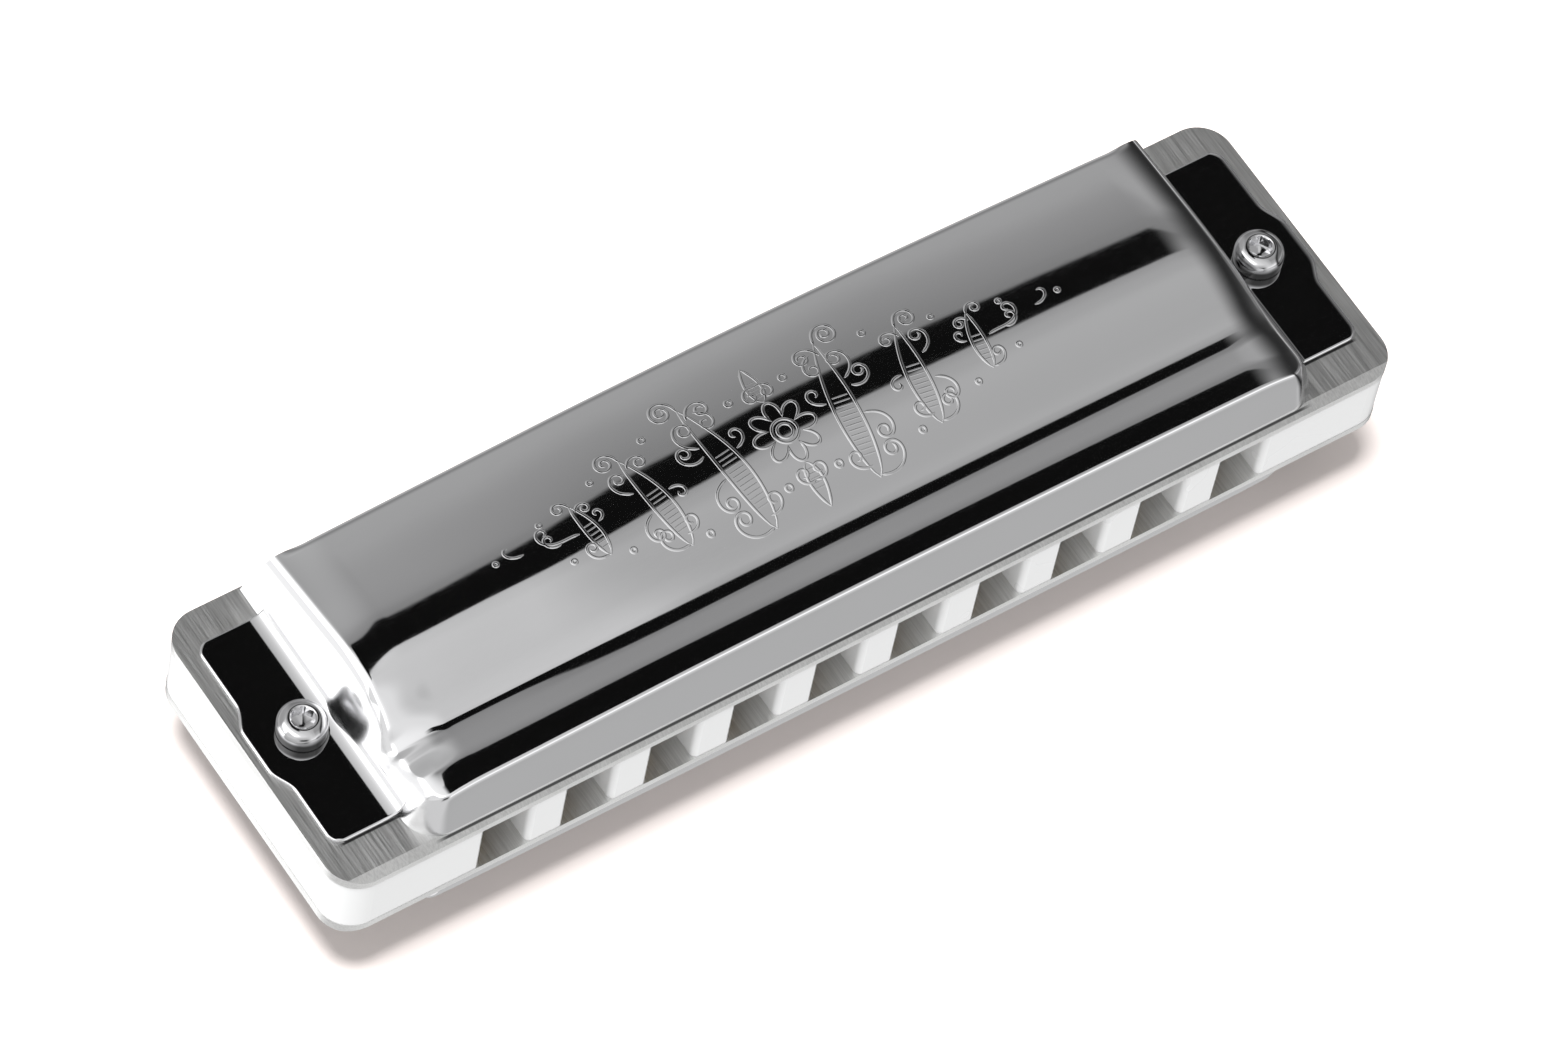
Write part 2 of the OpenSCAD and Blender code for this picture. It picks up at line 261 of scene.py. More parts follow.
def cover_metal(n, shader):
    """Polished sheet, duller on the end walls, where the press has stretched it."""
    polished((0.83, 0.83, 0.84), 0.035, 0.075, 0.0015)(n, shader)
    fine = shader.inputs["Roughness"].links[0].from_socket
    x = n.math("ABSOLUTE", n.axes()[0])
    wall_top, wall_foot = n.ramp(x, 41.6 * MM, 42.3 * MM), n.ramp(x, (FOLD_X + 0.1) * MM, (FOLD_X - 0.1) * MM)
    wall = n.math("MULTIPLY", wall_top, wall_foot)
    n.put(n.math("MULTIPLY_ADD", wall, 0.16, fine), shader.inputs["Roughness"])


STEEL = material("polished_steel", cover_metal)
SCREW_STEEL = material("screw_steel", screw_metal)
PLATE = material("plate_metal", plate_metal)
SMALL_SCREW = material("small_screw_steel", brushed((0.55, 0.55, 0.55), 0.004, 0.3, "X"))
BRASS = material("reed_brass", brushed((0.80, 0.58, 0.27), 0.003, 0.26))
RIVET_BRASS = material("rivet_brass", brushed((0.83, 0.62, 0.30), 0.003, 0.22, "X"))
COMB = material("comb_plastic", plastic((0.85, 0.853, 0.853), 0.22))


# ---------------------------------------------------------------- mesh building
def piece(name, verts, faces, look, sharp=40):
    """A mesh object from points in millimetres; edges sharper than the angle aren't smoothed."""
    mesh = bpy.data.meshes.new(name)
    mesh.from_pydata([(x * MM, y * MM, z * MM) for x, y, z in verts], [], faces)
    shape = bmesh.new()
    shape.from_mesh(mesh)
    bmesh.ops.remove_doubles(shape, verts=shape.verts, dist=1e-4 * MM)
    shape.to_mesh(mesh)
    shape.free()
    mesh.validate()
    mesh.materials.append(look)
    mesh.shade_smooth()
    mesh.set_sharp_from_angle(angle=rad(sharp))
    obj = bpy.data.objects.new(name, mesh)
    bpy.context.scene.collection.objects.link(obj)
    return obj


def finish_piece(obj, body, slot, *nodes):
    """Ties a piece to its body, and hides the CAD nodes that it replaces. The slot is not used."""
    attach(obj, body)
    if nodes:
        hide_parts(*nodes)
    return obj


class Shell:
    """Collects vertices and faces of a mesh."""

    def __init__(self):
        self.verts, self.faces = [], []

    def grid(self, rows, wrap=False, flip=False):
        """Adds a grid of points, rows[i][j]; wrap joins the last column to the first."""
        start, n = len(self.verts), len(rows[0])
        for row in rows:
            self.verts.extend(row)
        for i in range(len(rows) - 1):
            for j in range(n if wrap else n - 1):
                k = (j + 1) % n
                f = (start + i * n + j, start + i * n + k, start + (i + 1) * n + k, start + (i + 1) * n + j)
                self.faces.append(f[::-1] if flip else f)
        return start

    def sheet(self, rows, thickness, flip=False):
        """A closed sheet: the grid of points is its outer face, and the other face lies under it."""
        outer = np.array(rows, float)
        across, along = np.gradient(outer, axis=1), np.gradient(outer, axis=0)
        normal = np.cross(across, along)
        normal /= np.maximum(np.linalg.norm(normal, axis=2, keepdims=True), 1e-12)
        inner = outer - normal * thickness * (-1 if flip else 1)
        inner[..., 2] = np.maximum(inner[..., 2], 0.0)
        m, n = outer.shape[:2]
        a = self.grid(outer.tolist(), flip=flip)
        b = self.grid(inner.tolist(), flip=not flip)
        rim = [(0, j) for j in range(n)] + [(i, n - 1) for i in range(1, m)]
        rim += [(m - 1, j) for j in range(n - 2, -1, -1)] + [(i, 0) for i in range(m - 2, 0, -1)]
        for (i, j), (k, l) in zip(rim, rim[1:] + rim[:1]):
            f = (a + i * n + j, b + i * n + j, b + k * n + l, a + k * n + l)
            self.faces.append(f[::-1] if flip else f)

    def lathe(self, centre, rings, segments=96):
        """Rings of (radius, z), where a radius may be a function of the angle.
        An end closes on the axis if its radius is 0."""
        cx, cy = centre
        rows = []
        for radius, z in rings:
            row = []
            for j in range(segments):
                angle = 2 * math.pi * j / segments
                q = radius(angle) if callable(radius) else radius
                row.append((cx + q * math.cos(angle), cy + q * math.sin(angle), z))
            rows.append(row)
        self.grid(rows, wrap=True)


def hexagon(flats, turn=0.0):
    """Radius of a hexagon, by angle."""
    def radius(angle):
        t = (angle + turn) % (math.pi / 3) - math.pi / 6
        return flats / 2 / math.cos(t)
    return radius


# ---------------------------------------------------------------- covers
# Slopes of a cover's top along its depth, as (place, degrees): bead, valley, rise and crown.
# There is one list for most of the length, one for the low notes and one for the end wall beside them.
BEAD_SLOPES = ((-14, 7), (-12.5, 5), (-12.2, 3.5), (-10.9, 0), (-10.3, -1.4), (-9.9, -4), (-9.4, -5),
               (-8.1, -4.8))
CROWN_SLOPES = ((-3, 15.2), (3.4, 0.3), (4.6, -1.1), (6, -3.2), (11.6, -5.2), (14, -6))
MIDDLE_SLOPES = (*BEAD_SLOPES, (-7.35, -0.2), (-6.55, 4.8), (-5.7, 11), (-4.9, 15.5), (-4.1, 17.6), *CROWN_SLOPES)
LOW_SLOPES = (*BEAD_SLOPES, (-7.1, -4.2), (-6.75, 0), (-6.4, 6), (-5.9, 14.5), (-4.9, 17), (-4.1, 17.6),
              *CROWN_SLOPES)
END_SLOPES = (*BEAD_SLOPES, (-7.35, -0.2), (-6.7, 4), (-6.2, 12), (-5.7, 20), (-4.9, 28), (-4.1, 26.5),
              (-3.3, 14), (-2.4, 5), (-1.6, 3.4), (0, 2.2), (1.6, 0), (2.6, -3.2), (4, -4.2), *CROWN_SLOPES[-2:])
STEP, SECTION_DEPTH = 0.02, 31.0
RELIEF_ROOM = 0.09                   # under the CAD's top, for the ornament's relief
# How far the crown's highest line wanders, as (place along the length, distance)
WANDER = ((-44, -2.2), (-37, -2), (-26, -1.7), (-10, -0.5), (0, 0.1), (12, 0.1), (24, -0.1), (38, -0.5),
          (44, -0.8))
# Where the low notes' slopes and the end wall's slopes come in, and over what length.
# From END_FROM the top also falls towards both ends.
LOW_FROM, LOW_RUN, END_FROM, END_RUN = 14, 20, 37, 5
# Size of the bend from the top to the front face and to each end wall
FACE_BLEND, LOW_END_BLEND, HIGH_END_BLEND = 1.4, 2.8, 2.2


def between(points, t, ease=lambda f: f):
    """Value at t on a line through (place, value) points."""
    for (t0, v0), (t1, v1) in zip(points, points[1:]):
        if t <= t1:
            return lerp(v0, v1, ease((t - t0) / (t1 - t0)))
    return points[-1][1]


def heights(slopes):
    """Heights along the depth, one for each step from the mouth edge."""
    run = [0.0]
    for k in range(1, int(SECTION_DEPTH / STEP) + 1):
        run.append(run[-1] + STEP * math.tan(rad(between(slopes, FRONT_Y + (k - 0.5) * STEP))))
    return run


MIDDLE, LOW, END = heights(MIDDLE_SLOPES), heights(LOW_SLOPES), heights(END_SLOPES)
LIFT = COVER_H - max(MIDDLE) - RELIEF_ROOM


def section(table, y):
    """Height at y in a table made by heights()."""
    t = max(0.0, min(len(table) - 1.001, (y - FRONT_Y) / STEP))
    k = int(t)
    return LIFT + lerp(table[k], table[k + 1], t - k)


def unevenness(x, y):
    """Small waves left by pressing and polishing."""
    return 0.030 * noise.noise(Vector((x / 17, y / 15, 3.7)))


def cover_top(x, y):
    """Height of the cover's top over its plate, before the face and the end walls cut it off."""
    u = abs(x) / FOLD_X
    past = max(0.0, abs(x) - END_FROM)
    # Falls by the square of the way past END_FROM. At the low notes the bead, the valley, the rise behind them
    # and the crown each fall in their own way.
    if x < 0:
        before_rise = smooth((-4.6 - y) / 2.2)
        rise = smooth((y + 7.5) / 2) * smooth((-1 - y) / 2)
        bead_drop = 0.013 * past ** 2 + 0.09 * max(0.0, past - 3.3) ** 2
        valley_drop = 0.04 * min(past, 2.5) ** 2 + 0.2 * max(0.0, past - 2.5)
        front_drop = before_rise * lerp(bead_drop, valley_drop, smooth((y + 10) / 2.2))
        drop = (0.003 + 0.024 * rise) * past ** 2 + front_drop
    else:
        drop = 0.022 * past ** 2
    bow = 0.5 * u * u + drop
    shift = between(WANDER, x, smooth) * smooth((y + 6) / 8)
    top = lerp(section(MIDDLE, y - shift), section(LOW, y - shift), smooth((-x - LOW_FROM) / LOW_RUN))
    at_end = smooth((-x - END_FROM) / END_RUN)
    if at_end:
        top = lerp(top, section(END, y), at_end)
    # the crest is sharper towards the low notes
    off = (y - CREST_Y) / 4
    sharper = 0.1 * smooth((-x - 12) / 22) * (1 - math.exp(-off * off))
    return top - bow - sharper + unevenness(x, y)


def wall_height(x, y):
    """Height of the leaning face, end walls and round corners over the point, and how far round to the end
    it is, from 0 to 1. The corners' plan radius shrinks with height."""
    a, b = y - FOOT_Y, FOLD_X - abs(x)
    front, end = a / FACE_RUN, b / WALL_RUN
    z, turn = (front, 0.0) if front < end else (end, 1.0)
    ca, cb = PLAN_R - a, PLAN_R - b
    p, q = FACE_RUN - PLAN_TAPER, WALL_RUN - PLAN_TAPER
    # the corner's height zc solves square * zc^2 + 2 * linear * zc + fixed = 0
    square = p * p + q * q - PLAN_TAPER ** 2
    linear = p * ca + q * cb + PLAN_R * PLAN_TAPER
    fixed = ca * ca + cb * cb - PLAN_R ** 2
    root = linear * linear - square * fixed
    if root >= 0:
        zc = -fixed / (linear + math.sqrt(root))
        da, db = ca + zc * p, cb + zc * q
        if da > 0 and db > 0:
            z, turn = zc, math.atan2(db, da) / (math.pi / 2)
    return z, turn


def smooth_min(a, b, k):
    """The smaller of two heights, with a bend of size k where they cross."""
    h = max(k - abs(a - b), 0.0)
    return min(a, b) - h * h / (4 * k)


def cover_skin(x, y):
    """Height of the whole cover over its plate."""
    wall, turn = wall_height(x, y)
    bend = lerp(FACE_BLEND, LOW_END_BLEND if x < 0 else HIGH_END_BLEND, smooth(turn))
    return max(0.0, smooth_min(cover_top(x, y), wall, bend))


def spread(*parts):
    """Values from a list of (start, end, count) runs."""
    values = []
    for start, end, count in parts:
        values += [start + (end - start) * k / count for k in range(count)]
    return values + [parts[-1][1]]


def back_edge(x, z):
    """Place of the cover's back edge by its height."""
    top = 13.0 - 0.5 * (x / FOLD_X) ** 2
    return BACK_FOOT_Y - (BACK_FOOT_Y - top) * min(1.0, max(0.0, z / 5.6))


def plan_normal(x, y):
    """Level normal of the cover's outline near its foot."""
    s, t = abs(x) - (FOLD_X - PLAN_R), FOOT_Y + PLAN_R - y
    if s <= 0:
        return 0.0, -1.0, 0.0
    if t <= 0:
        return math.copysign(1.0, x), 0.0, 0.0
    q = math.hypot(s, t)
    return math.copysign(s / q, x), -t / q, 0.0


# Rounded lip along the back edge, as (distance in front of the edge, drop)
LIP = ((0.62, 0.0), (0.5, 0.02), (0.38, 0.06), (0.26, 0.13), (0.15, 0.22), (0.06, 0.32), (0.0, 0.4))
LIP_LINE_Y = 12.5                        # about where the lip runs, to look up the height there
# The foot's turn inwards, as (inset, height)
FOOT_ROLL = ((0.12, 0.0), (0.06, 0.02), (0.02, 0.06), (0.035, 0.15))


def cover_mesh():
    """The folded sheet without its tabs, from the foot of its face to the lip at its back."""
    shell = Shell()
    half = spread((FOLD_X, FOLD_X - 3.0, 24), (FOLD_X - 3.0, FOLD_X - 6.5, 22), (FOLD_X - 6.5, FOLD_X - 14, 14),
                  (FOLD_X - 14, 0, 24))
    xs = [-v for v in half] + half[-2::-1]
    front = spread((FOOT_Y, FOOT_Y + 1.0, 14), (FOOT_Y + 1.0, FOOT_Y + 1.9, 22),
                   (FOOT_Y + 1.9, FOOT_Y + PLAN_R, 14), (FOOT_Y + PLAN_R, -4, 44), (-4, 4, 26))
    rows = []
    for y in front:
        row = []
        for x in xs:
            px, py = x, y
            s, t = (abs(x) - (FOLD_X - PLAN_R)) / PLAN_R, (FOOT_Y + PLAN_R - y) / PLAN_R
            if s > 0 and t > 0:      # the corner square maps to a quarter disc
                px = math.copysign(FOLD_X - PLAN_R + PLAN_R * s * math.sqrt(1 - t * t / 2), x)
                py = FOOT_Y + PLAN_R - PLAN_R * t * math.sqrt(1 - s * s / 2)
            row.append((px, py, cover_skin(px, py)))
        rows.append(row)

    def inward(x, y, inset, z):
        """The foot turns in along the front, and less and less round the corners."""
        nx, ny, _ = plan_normal(x, y)
        fade = 1 - smooth(abs(nx) * math.sqrt(2))
        return x - nx * inset * fade, y - ny * inset * fade, z * fade

    rows[:1] = [[inward(x, y, inset, z) for x, y, _ in rows[0]] for inset, z in FOOT_ROLL]
    edges = []
    for x in xs:
        y = LIP_LINE_Y
        for _ in range(6):
            y = back_edge(x, cover_skin(x, min(y, LIP_LINE_Y)))
        edges.append(y)
    back = spread((0, 0.85, 22), (0.85, 1, 8))
    for v in back[1:]:
        row = []
        for x, edge in zip(xs, edges):
            y = lerp(front[-1], edge - LIP[0][0], v)
            row.append((x, y, cover_skin(x, y)))
        rows.append(row)
    for inset, drop in LIP[1:]:
        row = []
        for x, edge in zip(xs, edges):
            y = edge - inset
            fade = 1 - smooth((abs(x) - 38.5) / 2.5)
            row.append((x, y, max(0.0, cover_skin(x, y) - drop * fade)))
        rows.append(row)
    shell.sheet(rows, SHEET)
    return shell


TAB_LIFT = rad(14)                       # the low notes' tab rises slowly by this before its fold
TAB_LIFT_STEP, FOLD_R = 0.16, 0.9
EDGE_R = 0.16                            # rounding of a tab's edges
TAB_EDGE = ((0.1, 0.012), (0.05, 0.045), (0.02, 0.09), (0.0, 0.16))      # (distance inside the edge, drop)


def tab_outline(y):
    """How far a tab reaches along X: further beside its screw, and less at its two round corners."""
    s = smooth((3.2 + 1.3 - abs(y - SCREW_Y)) / 2.6)
    d = max(0.0, TAB_R - min(y - TAB_FRONT, TAB_BACK - y))
    return TAB_X + TAB_BULGE * s - (TAB_R - math.sqrt(max(0.0, TAB_R ** 2 - d * d)))


def add_tab(shell, side):
    """The flat tab and the round fold that joins it to the end wall."""
    lean = math.atan2(1, WALL_RUN)           # the wall's angle
    x, z = 0.0, SHEET
    path = [(x, z)]
    lift = TAB_LIFT if side < 0 else 0.0
    turns = [(TAB_LIFT_STEP, lift * (k + 0.5) / 10) for k in range(10)]
    turns += [(FOLD_R * (lean - lift) / 12, lerp(lift, lean, (k + 0.5) / 12)) for k in range(12)]
    for length, angle in turns:
        x, z = x - length * math.cos(angle), z + length * math.sin(angle)
        path.append((x, z))
    path.append((x - 0.3 * math.cos(lean), z + 0.3 * math.sin(lean)))
    slip = FOLD_X - WALL_RUN * z - 0.004 - x      # brings the path's upper end just inside the wall
    path = [(x + slip, z) for x, z in path[::-1]]
    flat_x = path[-1][0]
    ys = spread((TAB_FRONT, TAB_FRONT + 0.3, 6), (TAB_FRONT + 0.3, TAB_FRONT + TAB_R, 10),
                (TAB_FRONT + TAB_R, TAB_BACK - TAB_R, 60), (TAB_BACK - TAB_R, TAB_BACK - 0.3, 10),
                (TAB_BACK - 0.3, TAB_BACK, 6))
    rows = []
    for y in ys:
        out = tab_outline(y)
        edge = min(y - TAB_FRONT, TAB_BACK - y)
        dip = EDGE_R - math.sqrt(EDGE_R ** 2 - (EDGE_R - edge) ** 2) if edge < EDGE_R else 0.0
        row = [(x, z - dip) for x, z in path]
        row += [(lerp(flat_x, out - EDGE_R, k / 10), SHEET - dip) for k in range(1, 11)]
        row += [(out - inset, SHEET - max(drop, dip)) for inset, drop in TAB_EDGE]
        rows.append([(side * x, y, z) for x, z in row])
    shell.sheet(rows, SHEET, flip=side < 0)


def place_cover(name, lift, direction, *nodes):
    """A cover standing on the height lift, upwards or downwards."""
    shell = cover_mesh()
    add_tab(shell, 1)
    add_tab(shell, -1)
    verts = [(x, y, lift + direction * z) for x, y, z in shell.verts]
    faces = shell.faces if direction > 0 else [f[::-1] for f in shell.faces]
    obj = piece(name, verts, faces, STEEL, sharp=50)
    return finish_piece(obj, "body", "cover_steel", *nodes)


place_cover("upper_cover_skin", Z_UPPER_COVER, 1, "upper_cover")
place_cover("lower_cover_skin", Z_LOWER_PLATE, -1, "lower_cover")


# ---------------------------------------------------------------- ornament
def stroke(x, y, heading, *runs):
    """A line from a point, along runs of (length, curvature at its start, curvature at its end)."""
    points, heading, step = [(x, y)], rad(heading), 0.1
    for length, k0, k1 in runs:
        count = max(1, round(length / step))
        for k in range(count):
            heading += lerp(k0, k1, (k + 0.5) / count) * length / count
            x, y = x + math.cos(heading) * length / count, y + math.sin(heading) * length / count
            points.append((x, y))
    return points


def ring(x, y, radius, count=24):
    """A closed circle."""
    return [(x + radius * math.cos(2 * math.pi * k / count), y + radius * math.sin(2 * math.pi * k / count))
            for k in range(count + 1)]


def leaf(x0, y0, x1, y1, width, bend, hatches):
    """A pointed leaf outline from one tip to the other, and short lines across it."""
    dx, dy = x1 - x0, y1 - y0
    length = math.hypot(dx, dy)
    nx, ny = -dy / length, dx / length

    def at(t, side):
        off = bend * math.sin(math.pi * t) + side * width / 2 * math.sin(math.pi * t ** 0.8) ** 0.8
        return x0 + dx * t + nx * off, y0 + dy * t + ny * off

    lines = [[at(k / 24, side) for k in range(25)] for side in (-1, 1)]
    for k in range(hatches):
        t = lerp(0.16, 0.58, k / max(1, hatches - 1))
        lines.append([at(t, -0.72), at(t, 0.0), at(t, 0.72)])
    return lines


def ornament_lines():
    """Scrolls, leaves and a rosette; the right half is drawn and mirrored."""
    half = []
    half += leaf(5.0, -6.3, 6.6, 6.4, 2.1, 0.3, 13)
    half += leaf(12.0, -4.6, 13.3, 4.6, 1.8, 0.25, 10)
    half += leaf(18.4, -2.4, 19.1, 2.9, 1.2, 0.15, 6)
    curls = (
        # start x, y, heading, then length and curvature of each run
        (6.6, 6.3, 85, (1.6, -0.3, -0.9), (4.6, -0.9, -1.5), (2.6, -1.5, -3.4)),
        (6.4, 5.2, 100, (1.8, 0.5, 0.9), (4.2, 0.9, 2.8)),
        (7.0, 2.4, 20, (2.6, 0.35, 0.8), (4.6, 0.8, 2.6)),
        (7.1, 1.6, -40, (2.0, 0.7, 0.9), (3.8, 0.9, 2.9)),
        (6.6, -1.0, -10, (2.8, -0.3, -0.8), (4.2, -0.8, -2.8)),
        (5.1, -6.1, -25, (3.2, 0.3, 0.7), (4.6, 0.7, 2.6)),
        (4.9, -5.2, 190, (1.4, -0.5, -0.9), (3.0, -0.9, -3.0)),
        (4.3, 1.0, 170, (1.3, -0.4, -1.0), (2.3, -1.0, -3.2)),
        (5.6, 5.6, 190, (1.4, 0.5, 0.9), (3.2, 0.9, 2.9)),
        (13.3, 4.5, 85, (1.4, -0.4, -1.0), (3.6, -1.0, -1.8), (1.7, -1.8, -4.0)),
        (13.1, 3.6, 105, (1.3, 0.7, 1.1), (3.2, 1.1, 3.4)),
        (13.9, 1.4, 15, (2.1, 0.4, 0.9), (3.4, 0.9, 3.0)),
        (13.6, -0.9, -20, (2.1, -0.3, -0.9), (3.2, -0.9, -3.2)),
        (12.1, -4.4, -20, (2.4, 0.4, 0.9), (3.4, 0.9, 3.2)),
        (11.9, -3.6, 195, (1.3, -0.6, -1.1), (2.6, -1.1, -3.4)),
        (11.2, 0.4, 165, (1.0, 0.5, 1.2), (1.9, 1.2, 3.8)),
        (19.1, 2.8, 80, (1.1, -0.6, -1.4), (2.6, -1.4, -3.8)),
        (18.9, 2.2, 110, (0.9, 0.9, 1.5), (2.2, 1.5, 4.2)),
        (18.5, -2.3, -15, (1.8, 0.5, 1.2), (2.5, 1.2, 3.9)),
        (17.7, 0.6, 170, (0.7, -0.6, -1.6), (1.5, -1.6, -4.4)),
        (19.7, 0.3, 15, (2.2, -0.45, 0.4), (2.0, 0.4, 1.4), (1.6, 1.4, 4.0)),
        (21.3, 0.35, -30, (1.5, 0.8, 1.4), (1.7, 1.4, 4.2)),
        (24.6, 0.9, -10, (1.2, 0.5, 0.9), (1.3, 0.9, 3.6)),
    )
    half += [stroke(x, y, heading, *runs) for x, y, heading, *runs in curls]
    dots = ((2.6, 4.9, 0.3), (2.4, -3.9, 0.3), (10.6, 5.4, 0.26), (10.2, -4.4, 0.26), (16.4, 4.0, 0.22),
            (16.6, -2.9, 0.22), (22.1, 2.6, 0.2), (21.4, -1.6, 0.2), (27.0, 1.2, 0.2))
    half += [ring(x, y, radius, 12) for x, y, radius in dots]
    half.append(stroke(0.0, 5.2, 30, (1.6, -0.9, -1.4), (2.4, -1.4, -3.2)))
    half.append(stroke(0.0, -4.2, -30, (1.6, 0.9, 1.4), (2.4, 1.4, 3.2)))
    lines = half + [[(-x, y) for x, y in line] for line in half]
    petals = []
    for k in range(161):
        t = 2 * math.pi * k / 160
        q = 1.4 + 1.5 * abs(math.cos(4 * t)) ** 0.7
        petals.append((q * math.cos(t), 0.5 + q * math.sin(t)))
    lines += [petals, ring(0, 0.5, 0.65), ring(0, 0.5, 1.1, 30)]
    lines += leaf(0, 3.6, 0, 7.2, 1.3, 0, 5) + leaf(0, -2.6, 0, -6.6, 1.3, 0, 5)
    return [[(x, y + CREST_Y) for x, y in line] for line in lines]


def relief_mesh():
    """A low round ridge along every line of the ornament."""
    half_w = 0.15
    # across the line: (share of half_w, height over the cover)
    profile = ((-1.15, -0.02), (-0.9, 0.003), (-0.5, 0.018), (0, 0.026), (0.5, 0.018), (0.9, 0.003),
               (1.15, -0.02), (0, -0.1))
    shell = Shell()
    for line in ornament_lines():
        closed = math.dist(line[0], line[-1]) < 1e-6
        rows = []
        for k, (x, y) in enumerate(line):
            x0, y0 = line[k - 1] if k else (line[-2] if closed else line[0])
            x1, y1 = line[k + 1] if k < len(line) - 1 else (line[1] if closed else line[-1])
            length = math.hypot(x1 - x0, y1 - y0)
            nx, ny = (y0 - y1) / length, (x1 - x0) / length
            thin = 1.0 if closed else lerp(0.45, 1.0, smooth(min(k, len(line) - 1 - k) / 4))
            row = []
            for share, height in profile:
                px, py = x + nx * share * half_w * thin, y + ny * share * half_w * thin
                if height > 0:
                    height *= thin
                row.append((px, py, Z_UPPER_COVER + cover_top(px, py) + height))
            rows.append(row)
        start = shell.grid(rows, wrap=True, flip=True)
        if not closed:
            n = len(profile)
            last = start + (len(rows) - 1) * n
            shell.faces += [tuple(range(start, start + n)), tuple(range(last + n - 1, last - 1, -1))]
    return shell


shell = relief_mesh()
relief = piece("cover_ornament", shell.verts, shell.faces, STEEL, sharp=60)
finish_piece(relief, "body", "cover_steel", "upper_cover")


# ---------------------------------------------------------------- screws and nuts
def screws_mesh():
    """Two screws: a rounded head with a hexagon socket, and a shank with thread rings at its lower end."""
    shell = Shell()
    round_r, chamfer, pitch, thread_h = 0.95, 0.3, 0.45, 6.5
    base, low = Z_UPPER_COVER + SHEET, Z_LOWER_PLATE - SHEET - NUT_H
    top = base + HEAD_H
    socket = hexagon(SOCKET_FLATS)
    head = [(0, base), (HEAD_R - 0.12, base), (HEAD_R, base + 0.12), (HEAD_R, top - round_r)]
    for k in range(1, 13):
        t = rad(7.5 * k)
        head.append((HEAD_R - round_r * (1 - math.cos(t)), top - round_r * (1 - math.sin(t))))
    head += [(1.1, top - 0.01), (1.04, top - 0.05), (socket, top - 0.09), (socket, top - 1.15),
             (0.35, top - 1.3), (0, top - 1.35)]
    shank = [(0, low), (SCREW_R - chamfer, low), (SCREW_R, low + chamfer)]
    z = low + chamfer
    while z < low + thread_h:
        shank += [(SCREW_R, z + 0.12), (SCREW_R - 0.2, z + 0.22), (SCREW_R, z + 0.34)]
        z += pitch
    shank.append((SCREW_R, base))
    for side in (-1, 1):
        shell.lathe((side * SCREW_X, SCREW_Y), head)
        shell.lathe((side * SCREW_X, SCREW_Y), shank, 48)
    return shell


shell = screws_mesh()
screws = piece("socket_screws", shell.verts, shell.faces, SCREW_STEEL, sharp=35)
finish_piece(screws, "body", "fastener", "cover_screws")


def nuts_mesh():
    """Two nuts, with their corners chamfered at both faces."""
    shell = Shell()
    low, high = Z_LOWER_PLATE - SHEET - NUT_H, Z_LOWER_PLATE - SHEET
    inner_r, mouth_r, mouth_h, flat_r = 1.27, 1.5, 0.22, NUT_FLATS / 2
    outer = hexagon(NUT_FLATS, math.pi / 6)
    slope = math.tan(rad(30))
    steps = [flat_r + (NUT_CORNER_R - flat_r) * k / 6 for k in range(7)]
    rings = [(inner_r, low + mouth_h), (mouth_r, low), (flat_r - 0.08, low)]
    for q in steps:
        rings.append((lambda t, q=q: min(outer(t), q), low + 0.03 + (q - flat_r) * slope))
    for q in steps[::-1]:
        rings.append((lambda t, q=q: min(outer(t), q), high - 0.03 - (q - flat_r) * slope))
    rings += [(flat_r - 0.08, high), (mouth_r, high), (inner_r, high - mouth_h), (inner_r, low + mouth_h)]
    for side in (-1, 1):
        shell.lathe((side * SCREW_X, SCREW_Y), rings)
    return shell


shell = nuts_mesh()
nuts = piece("hexagon_nuts", shell.verts, shell.faces, SCREW_STEEL, sharp=20)
finish_piece(nuts, "body", "fastener", "cover_nuts")


# ---------------------------------------------------------------- reeds and rivets
def hole_x(i):
    return (i - (HOLES + 1) / 2) * PITCH


def reed_length(i):
    return lerp(REED_LONG, REED_SHORT, (i - 1) / (HOLES - 1))


# Round corners of a reed's pad, as (distance along the reed, trim of each side)
PAD_TRIMS = ((-PAD_L, 0.35), (-PAD_L + 0.06, 0.2), (-PAD_L + 0.18, 0.08), (-PAD_L + 0.4, 0.0),
             (-0.45, 0.0), (-0.25, 0.04), (-0.12, 0.12), (-0.05, 0.22))
REED_THIN, REED_STEPS, REED_BEVEL = 0.1, 40, 0.02


